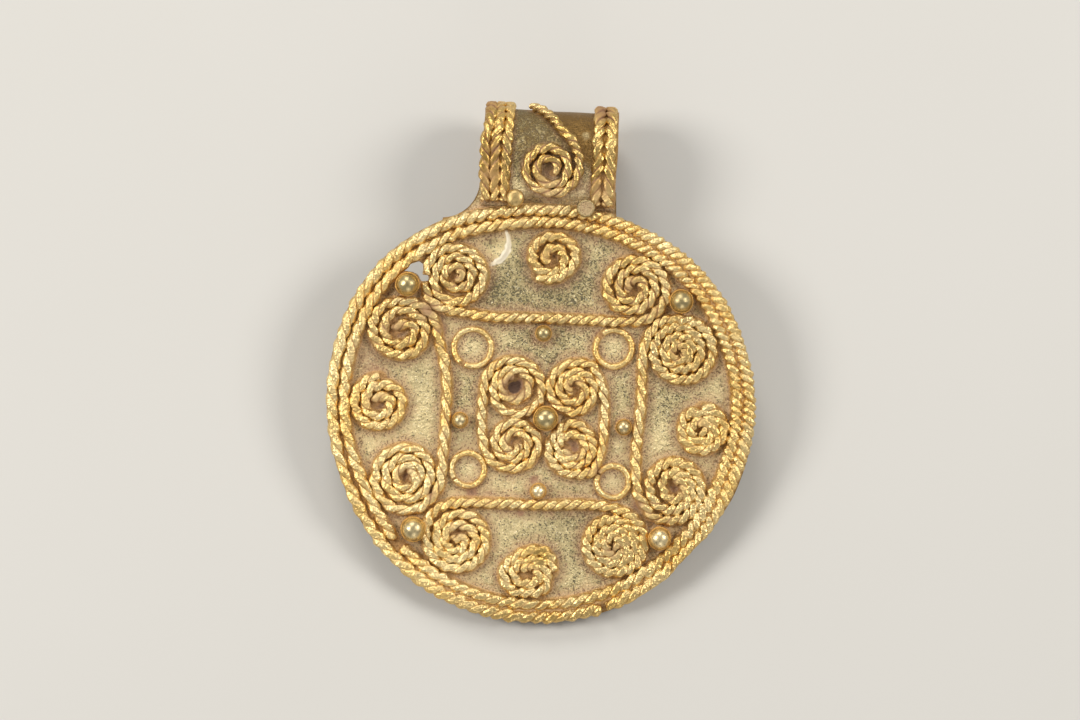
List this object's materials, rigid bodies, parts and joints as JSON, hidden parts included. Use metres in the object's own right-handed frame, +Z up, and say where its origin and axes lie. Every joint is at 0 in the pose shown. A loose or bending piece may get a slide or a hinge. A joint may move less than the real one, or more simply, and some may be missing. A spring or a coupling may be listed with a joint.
{
  "type": "medallion pendant",
  "caption": "Round pendant of sheet metal with a twisted-wire border, coiled wire scrolls and granules, hung from a cord or chain by a tubular loop.",
  "frame": {"origin": "on the ground below the middle of the pendant as it lies on its back", "axes": "+Z up, out of the ornamented face as it lies; +Y along the disc towards the suspension loop; +X to the right as the face is looked at"},
  "size_m": [0.0272, 0.0331, 0.0068],
  "materials": {
    "sheet_gold": "hammered gold sheet, matt and pale, with dark specks of burial dirt",
    "wire_gold": "twisted gold wire, worn bright on top, brown dirt in the grooves",
    "bead_gold": "gold granules polished by wear, with a warm collar of solder"
  },
  "bodies": {
    "root": {"disc_plate": "sheet_gold", "bail_loop": "sheet_gold", "bail_rib_left": "wire_gold", "bail_rib_right": "wire_gold", "bail_scroll": "wire_gold", "border_rope_outer": "wire_gold", "border_rope_inner": "wire_gold", "frame_scroll_top": "wire_gold", "frame_scroll_left": "wire_gold", "frame_scroll_bottom": "wire_gold", "frame_scroll_right": "wire_gold", "centre_scroll_left": "wire_gold", "centre_scroll_right": "wire_gold", "rosette_top": "wire_gold", "rosette_left": "wire_gold", "rosette_bottom": "wire_gold", "rosette_right": "wire_gold", "wire_ring_top_left": "wire_gold", "wire_ring_top_right": "wire_gold", "wire_ring_bottom_left": "wire_gold", "wire_ring_bottom_right": "wire_gold", "granule_centre": "bead_gold", "granule_corner_top_left": "bead_gold", "granule_corner_top_right": "bead_gold", "granule_corner_bottom_left": "bead_gold", "granule_corner_bottom_right": "bead_gold", "granule_side_top": "bead_gold", "granule_side_left": "bead_gold", "granule_side_bottom": "bead_gold", "granule_side_right": "bead_gold", "granule_foot_left": "bead_gold", "granule_foot_right": "bead_gold"}
  },
  "joints": []
}
